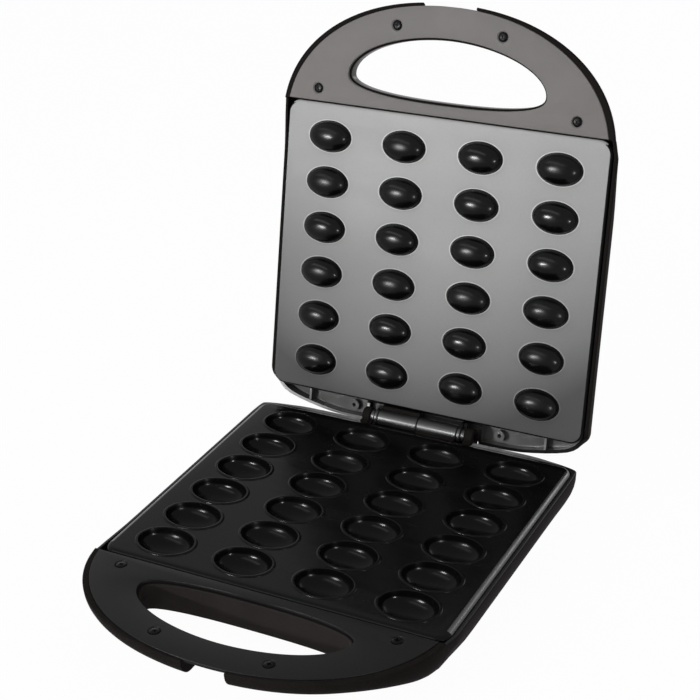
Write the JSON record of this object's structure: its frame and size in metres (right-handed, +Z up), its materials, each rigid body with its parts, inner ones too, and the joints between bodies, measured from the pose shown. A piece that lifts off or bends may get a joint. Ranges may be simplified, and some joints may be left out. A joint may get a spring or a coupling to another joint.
{
  "type": "electric nut cookie maker",
  "caption": "Electric nut cookie maker, open: two hinged heated plates, oval cavities in the lower and matching domes in the upper, looped handles, front latch clip.",
  "frame": {"origin": "centre of the open object's box, on the surface its rubber feet stand on", "axes": "+Z up, -Y from the hinge towards the lower handle, +X to the right along the hinge axis"},
  "size_m": [0.2906, 0.4548, 0.378],
  "materials": {
    "black_shell": "satin black heat-resistant plastic",
    "lower_coating": "cast aluminium under a black satin non-stick coating",
    "upper_coating": "cast aluminium under a black semi-gloss non-stick coating that mirrors a pale room",
    "lower_cover": "satin charcoal plastic",
    "upper_cover": "satin charcoal plastic",
    "black_screw": "black oxide steel",
    "steel": "zinc-plated steel",
    "element_sheath": "dull heat-resisting steel sheath",
    "reflector_sheet": "bright aluminized sheet",
    "rubber": "matt black rubber",
    "insulator": "cream moulded insulator",
    "red_lens": "clear red",
    "green_lens": "clear green"
  },
  "bodies": {
    "base": {"cord_inlet": "rubber", "front_left_foot": "rubber", "front_right_foot": "rubber", "hinge_pin": "steel", "lower_cover_screw_1": "black_screw", "lower_cover_screw_2": "black_screw", "lower_cover_screw_3": "black_screw", "lower_cover_screw_4": "black_screw", "lower_handle_cover": "lower_cover", "lower_heating_element": "element_sheath", "lower_housing": "black_shell", "lower_plate": "lower_coating", "lower_plate_screw_1": "steel", "lower_plate_screw_2": "steel", "lower_plate_screw_3": "steel", "lower_plate_screw_4": "steel", "lower_reflector": "reflector_sheet", "rear_left_foot": "rubber", "rear_right_foot": "rubber", "terminal_block": "insulator", "thermal_fuse": "steel", "thermostat": "steel"},
    "lid": {"lamp_board": "insulator", "latch_pin": "steel", "power_lamp_lens": "red_lens", "ready_lamp_lens": "green_lens", "upper_cover_screw_1": "black_screw", "upper_cover_screw_2": "black_screw", "upper_cover_screw_3": "black_screw", "upper_cover_screw_4": "black_screw", "upper_handle_cover": "upper_cover", "upper_heating_element": "element_sheath", "upper_housing": "black_shell", "upper_plate": "upper_coating", "upper_plate_screw_1": "steel", "upper_plate_screw_2": "steel", "upper_plate_screw_3": "steel", "upper_plate_screw_4": "steel", "upper_reflector": "reflector_sheet"},
    "latch": {"latch_clip": "black_shell"}
  },
  "joints": [
    {"name": "lid_hinge", "type": "hinge", "parent": "base", "child": "lid", "pos_m": [0.00078, 0.11667, 0.0453], "axis": [1, 0, 0], "range_deg": [0, 104]},
    {"name": "latch_pivot", "type": "hinge", "parent": "lid", "child": "latch", "pos_m": [0.00328, 0.20499, 0.36441], "axis": [1, 0, 0], "range_deg": [0, 130]}
  ]
}
